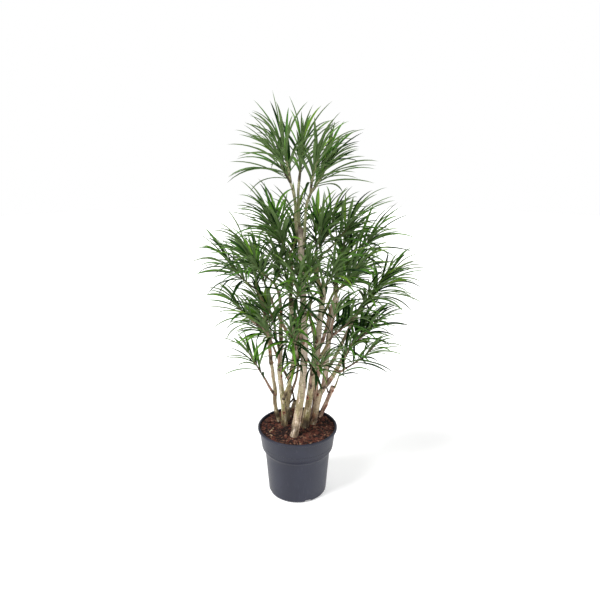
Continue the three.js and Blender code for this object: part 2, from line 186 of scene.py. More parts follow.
# A material whose colour is built up layer by layer over a base
class Finish:
    def __init__(self, name, base, roughness, specular, attribute=None):
        self.material = bpy.data.materials.new(name)
        self.material.use_nodes = True
        self.tree = self.material.node_tree
        self.shader = self.tree.nodes["Principled BSDF"]
        self.base = srgb(*base)
        self.shader.inputs["Base Color"].default_value = self.base
        self.shader.inputs["Roughness"].default_value = roughness
        self.shader.inputs["Specular IOR Level"].default_value = specular
        self.colour = None
        if attribute:
            self.place = addNode(self.tree, "ShaderNodeAttribute", attribute_name=attribute).outputs["Vector"]
        else:
            self.place = addNode(self.tree, "ShaderNodeTexCoord").outputs["Object"]

    def effect(self, group, **values):
        inputs = {"Vector": self.place, **values}
        return addNode(self.tree, "ShaderNodeGroup", inputs, node_tree=group).outputs["Mask"]

    def attribute(self, name):
        return addNode(self.tree, "ShaderNodeAttribute", attribute_name=name).outputs["Fac"]

    def between(self, mask, low, high, start=0.0, end=1.0):  # from start to end as the mask goes low to high
        return addNode(self.tree, "ShaderNodeMapRange", {
            "Value": mask, "From Min": low, "From Max": high, "To Min": start, "To Max": end,
        }, interpolation_type="SMOOTHSTEP").outputs["Result"]

    def height(self):
        return addNode(self.tree, "ShaderNodeSeparateXYZ", {0: self.place}).outputs["Z"]

    def maths(self, operation, *values):
        return addNode(self.tree, "ShaderNodeMath", dict(enumerate(values)), operation=operation).outputs[0]

    def band(self, height, half):  # a level band, in metres, that fades out past its half width
        away = self.maths("ABSOLUTE", self.maths("SUBTRACT", self.height(), height))
        return self.between(away, half, bandFade * half, 1.0, 0.0)

    def tint(self, mask, colour, amount=1.0):
        mix = addNode(self.tree, "ShaderNodeMix", data_type="RGBA")
        if self.colour is None:
            mix.inputs["A"].default_value = self.base
        else:
            self.tree.links.new(self.colour, mix.inputs["A"])
        mix.inputs["B"].default_value = srgb(*colour)
        self.tree.links.new(self.maths("MULTIPLY", mask, amount), mix.inputs["Factor"])
        self.colour = mix.outputs["Result"]
        self.tree.links.new(self.colour, self.shader.inputs["Base Color"])

    def layer(self, colour, amount, group=unevenness, **values):  # tints where the effect is, and returns it
        mask = self.effect(group, **values)
        self.tint(mask, colour, amount)
        return mask

    def vary(self, socket, mask, low, high):
        levels = addNode(self.tree, "ShaderNodeMapRange", {"Value": mask, "To Min": low, "To Max": high})
        self.tree.links.new(levels.outputs["Result"], self.shader.inputs[socket])

    def gloss(self, mask, low, high):
        self.vary("Roughness", mask, low, high)

    def sheen(self, mask, low, high):
        self.vary("Specular IOR Level", mask, low, high)

    def relief(self, *layers):  # each layer is a mask and its height in metres
        normal = None
        for mask, height in layers:
            bump = addNode(self.tree, "ShaderNodeBump", {"Distance": height, "Height": mask})
            if normal is not None:
                self.tree.links.new(normal, bump.inputs["Normal"])
            normal = bump.outputs["Normal"]
        self.tree.links.new(normal, self.shader.inputs["Normal"])


def potPlastic(shape, shade):
    finish = Finish("potPlastic", (32, 34, 48), roughness=0.48, specular=0.33)
    finish.layer((42, 45, 61), 0.6, Across=9, Along=6, Detail=3, Low=0.35, High=0.7)
    scuffs = finish.layer((92, 95, 106), 0.22, Across=220, Along=14, Detail=5, Low=0.6, High=0.78)
    finish.layer((112, 104, 98), 0.2, spots, Scale=420, Size=0.1, Softness=0.08)
    # Painted shade: darker bands on the shoulder and just under it, and a lower specular level on the
    # shoulder, dull the reflection the shoulder catches
    shoulder = finish.band(*shade["shoulder"])
    finish.tint(finish.band(*shade["underShoulder"]), (27, 29, 44), 0.3)
    finish.tint(shoulder, (24, 26, 42), 0.6)
    finish.sheen(shoulder, 0.33, 0.13)
    # The pressed-in lines are tinted dark, and the band under the lip is painted shadow
    lines = [(height, shape["lineHeight"] / 2) for height in shape["lines"]]
    for height, half in (*lines, shade["underLip"]):
        finish.tint(finish.band(height, half), (26, 27, 36), 0.75)
    grain = finish.effect(unevenness, Across=1400, Along=1400, Detail=2, Low=0.2, High=0.8)
    finish.gloss(scuffs, 0.4, 0.55)
    finish.relief((grain, 0.00006), (scuffs, 0.00008))
    return finish.material


def mulch(name, base, darker, lighter):
    finish = Finish(name, base, roughness=0.92, specular=0.25)
    patches = finish.layer(darker, 0.9, Across=90, Along=90, Detail=4, Low=0.4, High=0.65)
    fibres = finish.layer(lighter, 0.5, Across=600, Along=300, Detail=5, Low=0.5, High=0.75)
    finish.gloss(patches, 0.85, 0.97)
    finish.relief((fibres, 0.0006), (patches, 0.001))
    return finish.material


barkTones = {  # base, brown patches, bleached patches, green and reddish patches
    "olive": ((172, 158, 120), (112, 94, 72), (222, 210, 184), (140, 140, 80), (160, 116, 92)),
    "beige": ((182, 162, 136), (122, 100, 82), (232, 214, 196), (156, 150, 104), (176, 118, 98)),
    "brown": ((176, 146, 128), (114, 88, 76), (220, 192, 172), (134, 122, 86), (164, 104, 86)),
    "young": ((158, 152, 104), (118, 106, 76), (190, 182, 146), (116, 130, 70), (146, 116, 86)),
    "pale": ((176, 176, 136), (142, 138, 98), (206, 202, 172), (128, 144, 84), (166, 146, 112)),
    "dead": ((92, 72, 56), (58, 42, 34), (128, 106, 84), (84, 72, 52), (104, 66, 52)),
    "green": ((126, 134, 78), (110, 112, 70), (154, 156, 110), (92, 118, 54), (132, 122, 80)),
}
barkAlong = {"paleAndPaintedLight": (0.1, 0.4), "darkTop": (0.755, 0.785), "footShade": 0.036}  # metres up the limb


# The bark reads barkSpace, the straightened limb's own space, so its rings run square across the limb
def caneBark(name):
    base, brown, pale, green, flush = barkTones[name]
    finish = Finish(name + "Bark", base, roughness=0.78, specular=0.3, attribute="barkSpace")
    patches = finish.layer(brown, 0.8, Across=46, Along=15, Detail=6, Low=0.44, High=0.58)
    finish.layer(green, 0.6, Across=24, Along=9, Detail=4, Low=0.5, High=0.64)
    finish.layer(flush, 0.6, Across=30, Along=13, Detail=4, Low=0.57, High=0.66)
    bleached = finish.layer(pale, 0.85, Across=75, Along=26, Detail=6, Low=0.55, High=0.64)
    # Partly the bark's own paler tone, partly painted light against the shade inside the crown: the bark
    # turns paler from 0.1 to 0.4 m up each limb, and stays pale above
    finish.tint(finish.between(finish.height(), *barkAlong["paleAndPaintedLight"]), pale, 0.8)
    finish.tint(finish.between(finish.height(), *barkAlong["darkTop"]), (88, 74, 66), 0.7)
    finish.layer((74, 58, 42), 0.8, Across=52, Along=11, Detail=5, Low=0.57, High=0.68)
    # Painted shade: patchy darkening in a band at the foot of each limb, just above the soil
    footShade = finish.effect(unevenness, Across=40, Along=30, Detail=4, Low=0.36, High=0.58)
    foot = finish.band(0, barkAlong["footShade"])
    finish.tint(finish.maths("MULTIPLY", footShade, foot), (58, 46, 34), 0.9)
    rings = finish.layer((84, 68, 48), 0.65, Across=26, Along=330, Detail=3, Low=0.58, High=0.7)
    cracks = finish.layer((70, 58, 42), 0.5, Across=420, Along=50, Detail=5, Low=0.56, High=0.72)
    specks = finish.layer((56, 42, 32), 0.8, Across=210, Along=150, Detail=3, Low=0.64, High=0.72)
    finish.layer((62, 48, 36), 0.7, spots, Scale=130, Size=0.16, Softness=0.1)
    knots = finish.attribute("knotMask")
    finish.tint(finish.between(knots, 0.15, 0.45), (160, 102, 80), 0.85)
    finish.tint(finish.between(knots, 0.55, 0.85), (52, 38, 30), 0.95)
    finish.gloss(patches, 0.7, 0.86)
    finish.relief((rings, -0.0006), (cracks, -0.0005), (bleached, 0.0003), (specks, -0.0004))
    return finish.material


def cutWood():
    finish = Finish("cutWood", (176, 142, 118), roughness=0.85, specular=0.2)
    fibres = finish.layer((138, 98, 78), 0.7, Across=520, Along=520, Detail=4, Low=0.45, High=0.6)
    finish.layer((120, 104, 86), 0.5, Across=90, Along=90, Detail=3, Low=0.45, High=0.6)
    finish.relief((fibres, 0.0005))
    return finish.material


def leafSkin(name, base, other, roughness):
    finish = Finish(name, base, roughness, specular=0.09)
    clouds = finish.layer(other, 0.6, Across=22, Along=22, Detail=3, Low=0.4, High=0.62)
    finish.gloss(clouds, roughness - 0.05, roughness + 0.07)
    veins = finish.effect(unevenness, Across=900, Along=900, Detail=2, Low=0.3, High=0.7)
    finish.relief((veins, 0.00005))
    return finish.material


# Meshes

smoothing = {"turned": 40, "bark": 60, "leaf": 25, "chip": 30}  # degrees up to which an edge looks soft


def meshFrom(bm, name):
    mesh = bpy.data.meshes.new(name)
    bm.to_mesh(mesh)
    bm.free()
    return mesh


def meshOf(name, verts, faces, indices):
    mesh = bpy.data.meshes.new(name)
    mesh.from_pydata(verts, [], faces)
    mesh.polygons.foreach_set("material_index", indices)
    mesh.update()
    return mesh


def addPiece(name, bm, materials, nodes, smoothAngle):
    return placePiece(name, meshFrom(bm, name), materials, nodes, smoothAngle)


def placePiece(name, mesh, materials, nodes, smoothAngle):
    for material in materials:
        mesh.materials.append(material)
    mesh.shade_smooth()
    mesh.set_sharp_from_angle(angle=math.radians(smoothAngle))
    piece = addObject(name, mesh)
    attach(piece, "root")
    if nodes:
        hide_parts(*nodes)
    return piece


def arcPoints(centre, radius, startAngle, endAngle, steps):
    points = []
    for step in range(steps + 1):
        angle = math.radians(startAngle + (endAngle - startAngle) * step / steps)
        points.append((centre[0] + radius * math.cos(angle), centre[1] + radius * math.sin(angle)))
    return points


# Turns a profile of (radius, height) pairs, from the axis round to the axis, into a closed shell
def turned(profile, steps):
    bm = bmesh.new()
    verts = [bm.verts.new((radius, 0, height)) for radius, height in profile]
    edges = [bm.edges.new(pair) for pair in zip(verts, verts[1:])]
    bmesh.ops.spin(bm, geom=verts + edges, cent=(0, 0, 0), axis=(0, 0, 1), angle=2 * math.pi,
                   steps=steps, use_merge=True)
    bmesh.ops.remove_doubles(bm, verts=bm.verts, dist=0.00001)
    bmesh.ops.recalc_face_normals(bm, faces=bm.faces)
    return bm


# Pot

potShape = {
    "height": 0.276, "rimRadius": 0.155, "footRadius": 0.114, "shoulderRadius": 0.1274,
    "shoulderHeight": 0.172, "collarRadius": 0.1402, "collarHeight": 0.196, "lipHeight": 0.009,
    "lipProud": 0.0055, "wall": 0.0024, "floor": 0.012, "edgeRounding": 0.009, "turns": 160,
    "lines": (0.2, 0.213), "lineProud": -0.0005, "lineHeight": 0.0014, "bodyFoot": 0.02,
    "aboveLines": 0.222, "levels": 12, "collarLevels": 6, "floorChamfer": (0.004, 0.006),
    "lipRounding": {"under": 0.003, "lower": 0.0015, "upper": 0.002, "inner": 0.001},
}
wallHeights = [0.09, potShape["shoulderHeight"], 0.184, potShape["collarHeight"]]  # bends of the inner wall
potShade = {  # height and half width of each darker band, painted shade
    "shoulder": (0.189, 0.005), "underShoulder": (0.182, 0.008), "underLip": (0.2665, 0.0012),
}
notchShape = {"count": 4, "width": 0.030, "height": 0.010, "depth": 0.012, "first": 292, "rounding": 0.006}


# Outer radius of the wall. The shoulder's curve starts and ends at the slopes of the body and the collar
def wallRadius(height):
    shape = potShape
    lipFoot = shape["height"] - shape["lipHeight"]
    collarTop = shape["rimRadius"] - shape["lipProud"]
    bodySlope = (shape["shoulderRadius"] - shape["footRadius"]) / shape["shoulderHeight"]
    collarSlope = (collarTop - shape["collarRadius"]) / (lipFoot - shape["collarHeight"])
    if height <= shape["shoulderHeight"]:
        return shape["footRadius"] + bodySlope * height
    if height >= shape["collarHeight"]:
        return shape["collarRadius"] + collarSlope * (height - shape["collarHeight"])
    span = shape["collarHeight"] - shape["shoulderHeight"]
    share = (height - shape["shoulderHeight"]) / span
    eased = share * share * (3 - 2 * share)
    radius = shape["shoulderRadius"] + (shape["collarRadius"] - shape["shoulderRadius"]) * eased
    radius += bodySlope * span * share * (1 - share) ** 2
    return radius - collarSlope * span * share * share * (1 - share)


# The outside from the rounded foot up to the lip, with the dark lines pressed in
def outerWall(shape, lipFoot):
    levels = [*np.linspace(shape["bodyFoot"], shape["shoulderHeight"], shape["levels"]),
              *np.linspace(shape["shoulderHeight"], shape["collarHeight"], shape["levels"])[1:]]
    wall = [(wallRadius(height), height) for height in levels]
    half = shape["lineHeight"] / 2
    for line in shape["lines"]:
        inset = wallRadius(line) + shape["lineProud"]
        wall += [(wallRadius(line - half), line - half), (inset, line - half / 3),
                 (inset, line + half / 3), (wallRadius(line + half), line + half)]
    collarEnd = lipFoot - shape["lipRounding"]["under"]
    levels = np.linspace(shape["aboveLines"], collarEnd, shape["collarLevels"])
    return wall + [(wallRadius(height), height) for height in levels]


def lipProfile(shape, lipFoot):
    rounding = shape["lipRounding"]
    collarTop = shape["rimRadius"] - shape["lipProud"]
    under, lower, upper, inner = [rounding[key] for key in ("under", "lower", "upper", "inner")]
    lip = arcPoints((collarTop + under, lipFoot - under), under, 180, 90, 4)
    lip += arcPoints((shape["rimRadius"] - lower, lipFoot + lower), lower, -90, 0, 3)
    lip += arcPoints((shape["rimRadius"] - upper, shape["height"] - upper), upper, 0, 90, 4)
    return lip + arcPoints((collarTop - shape["wall"] + inner, shape["height"] - inner), inner, 90, 180, 3)


# The whole shell's outline: up the outside, over the lip and down the inside
def potProfile(shape):
    lipFoot = shape["height"] - shape["lipHeight"]
    rounding = shape["edgeRounding"]
    foot = arcPoints((wallRadius(rounding) - rounding, rounding), rounding, -90, 0, 8)
    across, up = shape["floorChamfer"]
    floor = shape["floor"]
    heights = [lipFoot, *wallHeights[::-1], floor + up]
    inside = [(wallRadius(height) - shape["wall"], height) for height in heights]
    inside.append((wallRadius(floor) - shape["wall"] - across, floor))
    return [(0, 0)] + foot + outerWall(shape, lipFoot) + lipProfile(shape, lipFoot) + inside + [(0, floor)]


# Rounded blocks all round the bottom edge, which cut the drain notches
def notchCutter():
    shape = notchShape
    bm = bmesh.new()
    for index in range(shape["count"]):
        size = Matrix.Diagonal((2 * shape["depth"], shape["width"], 2 * shape["height"], 1))
        turn = Matrix.Rotation(math.radians(shape["first"] + index * 360 / shape["count"]), 4, "Z")
        place = turn @ Matrix.Translation((potShape["footRadius"], 0, 0)) @ size
        bmesh.ops.create_cube(bm, size=1, matrix=place)
    bmesh.ops.bevel(bm, geom=bm.edges[:], offset=shape["rounding"], segments=4, profile=0.5,
                    affect="EDGES", material=-1)
    return addObject("notchCutter", meshFrom(bm, "notchCutter"))


def makePot():
    shell = turned(potProfile(potShape), potShape["turns"])
    plastic = potPlastic(potShape, potShade)
    pot = addPiece("nurseryPot", shell, [plastic], ["pot"], smoothing["turned"])
    cutter = notchCutter()
    cut = pot.modifiers.new("notches", "BOOLEAN")
    cut.operation = "DIFFERENCE"
    cut.solver = "EXACT"
    cut.object = cutter
    carved = bpy.data.meshes.new_from_object(pot.evaluated_get(bpy.context.evaluated_depsgraph_get()))
    pot.modifiers.clear()
    pot.data = carved
    bpy.data.objects.remove(cutter)


makePot()
print("pot turned and notched")


# Limbs: each has a kind, a path that is even in length, its girth at both ends, and a seed for its bark

limbKinds = {  # sides, length of a ring, coarseness of the bark, and flare at the foot
    "cane": {"sides": 32, "ring": 0.0034, "rough": 1.0, "flare": 0.0032},
    "bough": {"sides": 18, "ring": 0.004, "rough": 0.8, "flare": 0.0024},
    "stem": {"sides": 9, "ring": 0.006, "rough": 0.5, "flare": 0.0016},
    "shoot": {"sides": 9, "ring": 0.006, "rough": 0.4, "flare": 0},
    "twig": {"sides": 9, "ring": 0.0025, "rough": 0.45, "flare": 0.0008},
}
limbSeeds = {  # first seed, and the step from one limb to the next
    "cane": (3.7, 11), "bough": (101.3, 7), "shoot": (311.9, 5), "twig": (511.7, 9), "side": (611.3, 4),
}
limbEnds = {"flareHeight": 0.016, "swellHeight": 0.022, "slantHeight": 0.014, "footSunk": 0.004}
barkDetail = {
    "scarSpacing": 0.0085, "scarDepth": 0.0008, "scarSharpness": 5, "scarDrift": 0.8, "driftAlong": 40,
    "scarWave": 0.35, "waveAround": 1.3, "waveAlong": 14, "furrowDepth": 0.0007, "furrowAround": 5,
    "furrowAlong": 45, "lump": 0.0021, "lumpAlong": 22,
}
knotShape = {
    "spacing": 0.085, "size": (0.0038, 0.0078), "rise": 0.0026, "hollow": 0.0024, "hollowFrom": 0.62,
    "within": (0.2, 0.8),  # where a knot may sit in its share of the limb
}
cutShape = {"rim": 0.14, "core": 0.3, "raised": 0.0012, "sunk": 0.0016}  # rim and core in radii


def seedFor(kind, number):
    first, step = limbSeeds[kind]
    return first + step * number


def limbOf(kind, path, girth, seed, **more):
    return {**limbKinds[kind], "path": path, "girth": girth, "seed": seed, **more}


def evenPath(line, samples):
    lengths = np.concatenate([[0], np.cumsum(np.linalg.norm(np.diff(line, axis=0), axis=1))])
    even = np.linspace(0, lengths[-1], samples)
    return np.stack([np.interp(even, lengths, line[:, axis]) for axis in range(3)], axis=1)


def curvedPath(controls, samples=80):
    shares = np.linspace(0, 1, 4 * samples)[:, None]
    layer = [np.array(point, float)[None, :] for point in controls]
    while len(layer) > 1:
        layer = [a * (1 - shares) + b * shares for a, b in zip(layer, layer[1:])]
    return evenPath(layer[0], samples)


# A smooth path through all the points, by cubic spans. At each point it runs level with its neighbours
def splinePath(points, samples=200):
    points = [np.array(point, float) for point in points]
    ends = [2 * points[0] - points[1]] + points + [2 * points[-1] - points[-2]]
    share = np.linspace(0, 1, 60)[:, None]
    spans = []
    for before, start, end, after in zip(ends, ends[1:], ends[2:], ends[3:]):
        leaving = (end - before) / 2
        arriving = (after - start) / 2
        cubic = 2 * (start - end) + leaving + arriving
        square = 3 * (end - start) - 2 * leaving - arriving
        spans.append(cubic * share ** 3 + square * share ** 2 + leaving * share + start)
    return evenPath(np.concatenate([spans[0]] + [span[1:] for span in spans[1:]]), samples)


def pathLength(path):
    return float(np.linalg.norm(np.diff(path, axis=0), axis=1).sum())


def pointAt(path, share):
    place = np.linspace(0, 1, len(path))
    return np.array([np.interp(share, place, path[:, axis]) for axis in range(3)])


def tangentAt(path, share, reach=0.02):
    ahead = pointAt(path, min(1, share + reach))
    behind = pointAt(path, max(0, share - reach))
    return (ahead - behind) / np.linalg.norm(ahead - behind)


def unit(vector):
    return vector / np.linalg.norm(vector)


def shareAtHeight(path, height):
    return float(np.interp(height, path[:, 2], np.linspace(0, 1, len(path))))


def radiusAlong(limb, share):
    length = pathLength(limb["path"])
    flare = limb["flare"] * math.exp(-share * length / limbEnds["flareHeight"])
    swell = limb.get("tipSwell", 0) * math.exp((share - 1) * length / limbEnds["swellHeight"])
    foot, tip = limb["girth"]
    return (foot + (tip - foot) * share) / 2 + flare + swell


def noiseRound(angle, around, along):
    return noise.noise(Vector((math.cos(angle) * around, math.sin(angle) * around, along)))


# Relief of the bark: leaf scars as uneven rings, furrows along the limb, and a few swellings
def barkRelief(angle, along, limb):
    detail = barkDetail
    seed = limb["seed"]
    wave = detail["scarWave"] * noiseRound(angle, detail["waveAround"], along * detail["waveAlong"] + seed)
    drift = detail["scarDrift"] * noise.noise(Vector((0, seed, along * detail["driftAlong"])))
    phase = along / detail["scarSpacing"] + wave + drift
    groove = max(0, 1 - detail["scarSharpness"] * abs(phase - round(phase)))
    furrow = noiseRound(angle, detail["furrowAround"], along * detail["furrowAlong"] + seed)
    lump = noiseRound(angle, 1, along * detail["lumpAlong"] - seed)
    relief = detail["furrowDepth"] * furrow - detail["scarDepth"] * groove + detail["lump"] * lump
    return limb["rough"] * relief


# How near a place on the bark is to a knot, from 0 to 1 at its middle
def knotNearness(angle, along, radius, limb):
    nearest = 0
    for knotAlong, knotAngle, size in limb.get("knots", ()):
        if abs(along - knotAlong) > 3 * size:
            continue
        turn = (angle - knotAngle + math.pi) % (2 * math.pi) - math.pi
        distance = math.hypot(along - knotAlong, turn * radius)
        nearest = max(nearest, math.exp(-(distance / size) ** 2))
    return nearest


def knotRelief(nearness):
    hollow = max(0, nearness - knotShape["hollowFrom"]) / (1 - knotShape["hollowFrom"])
    return knotShape["rise"] * nearness - knotShape["hollow"] * hollow


# A limb's rings: centre, two directions across, and radius
def limbSections(limb, rings):
    path = limb["path"]
    chord = path[-1] - path[0]
    across = unit(np.array([chord[1], -chord[0], 1e-9]))
    sections = []
    for ring in range(rings + 1):
        share = ring / rings
        tangent = tangentAt(path, share)
        side = unit(across - tangent * np.dot(across, tangent))
        sections.append((pointAt(path, share), side, np.cross(tangent, side), radiusAlong(limb, share)))
    return sections


# Moves a unit cylinder's rings on to the limb. Each vertex keeps its place in the bark's straightened space
def wrapLimb(bm, limb, rings):
    barkSpace = bm.verts.layers.float_vector.new("barkSpace")
    knotMask = bm.verts.layers.float.new("knotMask")
    length = pathLength(limb["path"])
    sections = limbSections(limb, rings)
    offset = limb["seed"] % 7  # no two limbs read the same part of the bark's patches
    for vert in bm.verts:
        share = vert.co.z + 0.5
        angle = math.atan2(vert.co.y, vert.co.x)
        centre, side, other, radius = sections[round(share * rings)]
        nearness = knotNearness(angle, share * length, radius, limb)
        spread = radius + barkRelief(angle, share * length, limb) + knotRelief(nearness)
        place = centre + spread * (math.cos(angle) * side + math.sin(angle) * other)
        slant = limb.get("slant", 0) * math.exp((share - 1) * length / limbEnds["slantHeight"])
        place += np.cross(side, other) * slant * (place - centre)[0]
        vert[barkSpace] = (radius * math.cos(angle) + offset, radius * math.sin(angle), share * length)
        vert[knotMask] = nearness
        vert.co = place


# A sawn tip in the second material: a rim of bark round it, and a core that has sunk in
def sawTip(bm, tip, limb):
    radius = radiusAlong(limb, 1)
    way = Vector(tangentAt(limb["path"], 1))
    bmesh.ops.inset_region(bm, faces=[tip], thickness=radius * cutShape["rim"], use_even_offset=True)
    tip.material_index = 1
    bmesh.ops.translate(bm, verts=tip.verts, vec=way * cutShape["raised"])
    core = bmesh.ops.inset_region(bm, faces=[tip], thickness=radius * cutShape["core"], use_even_offset=True)
    for face in core["faces"]:
        face.material_index = 1
    bmesh.ops.translate(bm, verts=tip.verts, vec=way * -cutShape["sunk"])


# A limb's closed skin, with a sawn tip where the limb is cut
def limbMesh(limb):
    rings = max(3, round(pathLength(limb["path"]) / limb["ring"]))
    bm = bmesh.new()
    bmesh.ops.create_cone(bm, cap_ends=True, segments=limb["sides"], radius1=1, radius2=1, depth=1)
    uprights = [edge for edge in bm.edges if abs(edge.verts[0].co.z - edge.verts[1].co.z) > 0.5]
    bmesh.ops.subdivide_edges(bm, edges=uprights, cuts=rings - 1)
    wrapLimb(bm, limb, rings)
    caps = [face for face in bm.faces if len(face.verts) == limb["sides"]]
    tip = max(caps, key=lambda face: face.calc_center_median().z)
    bmesh.ops.recalc_face_normals(bm, faces=bm.faces)
    if limb.get("cut"):
        sawTip(bm, tip, limb)
    return bm


def joined(parts):
    whole = bmesh.new()
    for bm in parts:
        mesh = meshFrom(bm, "part")
        whole.from_mesh(mesh)
        bpy.data.meshes.remove(mesh)
    return whole


# Canes, as in the frame: bark, girth at foot and tip, foot on the soil, and the way up to the cut tip

soilTop = 0.267
canes = {
    "cane_left": ("olive", (0.0165, 0.012), (-0.073, 0.043), [
        (-0.090, 0.043, 0.352), (-0.089, 0.043, 0.412), (-0.104, 0.043, 0.546), (-0.118, 0.043, 0.697)]),
    "cane_left_forked": ("olive", (0.023, 0.014), (-0.051, 0.014), [
        (-0.054, 0.014, 0.345), (-0.068, 0.014, 0.496), (-0.064, 0.014, 0.578), (-0.060, 0.014, 0.660)]),
    "cane_left_stub": ("beige", (0.017, 0.015), (-0.036, 0.086), [
        (-0.021, 0.084, 0.306), (-0.010, 0.082, 0.340)]),
    "cane_tall": ("beige", (0.031, 0.019), (-0.013, -0.067), [
        (0.017, -0.050, 0.455), (0.027, -0.032, 0.620), (0.023, -0.018, 0.767), (0.010, 0.002, 1.056)]),
    "cane_middle": ("olive", (0.029, 0.019), (0.027, 0.001), [
        (0.054, 0.001, 0.443), (0.062, 0.001, 0.520), (0.087, 0.000, 0.731), (0.100, 0.000, 0.850)]),
    "cane_right_forked": ("beige", (0.026, 0.017), (0.061, 0.025), [
        (0.084, 0.025, 0.385), (0.104, 0.025, 0.440), (0.113, 0.024, 0.550), (0.123, 0.022, 0.664),
        (0.146, 0.022, 0.792)]),
    "cane_right_stub": ("brown", (0.018, 0.016), (0.090, 0.087), [
        (0.128, 0.088, 0.360), (0.143, 0.088, 0.400)]),
    "cane_back_left": ("olive", (0.020, 0.014), (-0.044, 0.060), [
        (-0.033, 0.075, 0.413), (-0.012, 0.098, 0.560), (-0.030, 0.125, 0.775)]),
    "cane_back_right": ("brown", (0.020, 0.015), (0.060, 0.068), [
        (0.074, 0.080, 0.397), (0.086, 0.110, 0.600), (0.096, 0.140, 0.815)]),
}
tips = {  # where a tip isn't cut square, or swells out
    "cane_left_stub": {"slant": 0.5}, "cane_tall": {"tipSwell": 0.0045, "slant": -0.45},
    "cane_right_stub": {"tipSwell": 0.0016},
}
cutBarks = {"cane_right_stub": "dead"}  # cuts that aren't pale wood
barks = {name: caneBark(name) for name in barkTones}
cutFace = cutWood()


# Healed scars where side shoots were cut: place along, angle round, size and depth of the hollow
def makeKnots(path, seed):
    pick = random.Random(seed)
    count = round(pathLength(path) / knotShape["spacing"])
    knots = []
    for index in range(count):
        along = (index + pick.uniform(*knotShape["within"])) * knotShape["spacing"]
        knots.append((along, pick.uniform(0, 2 * math.pi), pick.uniform(*knotShape["size"])))
    return knots


limbs = {}
for number, (name, (bark, girth, foot, way)) in enumerate(canes.items()):
    path = splinePath([(*foot, soilTop - limbEnds["footSunk"]), *way])
    seed = seedFor("cane", number)
    limbs[name] = limbOf("cane", path, girth, seed, bark=bark, cut=True, knots=makeKnots(path, seed),
                         **tips.get(name, {}))
    materials = [barks[bark], barks[cutBarks[name]] if name in cutBarks else cutFace]
    addPiece(name.replace("cane", "barkedCane"), limbMesh(limbs[name]), materials, [name],
             smoothing["bark"])
print("canes grown,", len(canes))


# Masses of leaves, as in the frame: side in degrees from +X towards +Y, reach from the pot's axis, height
# of the heart, tufts, the limb that carries the mass, the height at which it leaves that limb, and the
# girth of its bough, or None where its stem grows straight from the limb

usual = (0.014, 0.010)
thin = (0.0115, 0.0096)
stout = (0.020, 0.013)
masses = {
    "top_left": (192, 0.052, 1.298, 2, "cane_tall", 1.000, usual),
    "top_back": (70, 0.048, 1.300, 1, "cane_tall", 1.020, None),
    "top_right": (354, 0.080, 1.262, 2, "cane_tall", 0.975, thin),
    "upper_left": (200, 0.078, 1.046, 2, "cane_tall", 0.800, usual),
    "upper_right": (343, 0.132, 1.048, 2, "cane_middle", 0.790, usual),
    "upper_far_right": (8, 0.212, 0.990, 2, "cane_right_forked", 0.735, usual),
    "upper_back_left": (110, 0.116, 1.030, 2, "cane_back_left", 0.735, usual),
    "upper_back_right": (54, 0.168, 1.036, 2, "cane_back_right", 0.770, usual),
    "middle_far_left": (179, 0.196, 0.908, 2, "cane_left", 0.655, usual),
    "middle_left": (216, 0.140, 0.952, 2, "cane_left_forked", 0.632, usual),
    "middle_front": (262, 0.126, 0.890, 2, "cane_tall", 0.620, usual),
    "middle_front_right": (305, 0.135, 0.908, 2, "cane_middle", 0.620, usual),
    "middle_right": (351, 0.178, 0.902, 2, "cane_middle", 0.720, None),
    "middle_far_right": (2, 0.303, 0.836, 2, "cane_right_forked", 0.500, usual),
    "middle_back_left": (135, 0.216, 0.880, 2, "cane_back_left", 0.585, usual),
    "middle_back": (88, 0.205, 0.900, 2, "cane_back_right", 0.660, usual),
    "middle_back_right": (39, 0.257, 0.868, 2, "cane_back_right", 0.560, usual),
    "low_far_left": (177, 0.168, 0.752, 2, "cane_left", 0.520, usual),
    "low_left": (214, 0.132, 0.735, 2, "cane_left_forked", 0.500, None),
    "low_front": (266, 0.112, 0.722, 2, "cane_left_forked", 0.380, usual),
    "low_right": (337, 0.184, 0.748, 2, "cane_middle", 0.530, usual),
    "low_far_right": (358, 0.258, 0.690, 2, "cane_right_forked", 0.425, stout),
    "low_back_left": (134, 0.196, 0.668, 2, "cane_back_left", 0.430, None),
    "low_back_right": (45, 0.230, 0.660, 2, "cane_back_right", 0.430, usual),
    "lowest_left": (187, 0.168, 0.562, 1, "cane_left", 0.385, None),
    "lowest_front": (318, 0.105, 0.590, 2, "cane_middle", 0.430, None),
    "lowest_right": (345, 0.232, 0.612, 2, "bough_low_far_right", 0.500, None),
    "lowest_back": (89, 0.150, 0.556, 2, "cane_back_left", 0.350, None),
}
growth = {
    "stemGirth": 0.0092, "stemBelowHeart": 0.112, "forkAboveFoot": 0.026, "partUp": 0.25, "partOut": 0.35,
    "leastLean": 0.25, "leanPerMetre": 1.7, "shootGirth": (0.0078, 0.005), "tuftSpread": 0.046,
    "lowestTip": -0.010, "highestTip": 0.040, "tipPull": 0.045, "splayHeight": 0.022, "topStoutness": 1.35,
    "stemFoot": 1.25, "overlap": 0.003,
    "oldWoodHeight": 0.72,  # boughs that leave their cane below it have its bark
}


# Control points from a limb to an end: it leaves outwards and up the limb, and arrives along the heading
def sideControls(carrier, height, end, heading):
    share = shareAtHeight(carrier["path"], height)
    start = pointAt(carrier["path"], share)
    way = end - start
    third = np.linalg.norm(way) / 3
    outward = unit(np.array([way[0], way[1], 0]))
    parting = unit(unit(way) + growth["partUp"] * tangentAt(carrier["path"], share))
    parting = unit(parting + growth["partOut"] * outward)
    return [start, start + parting * third, end - heading * third, end]


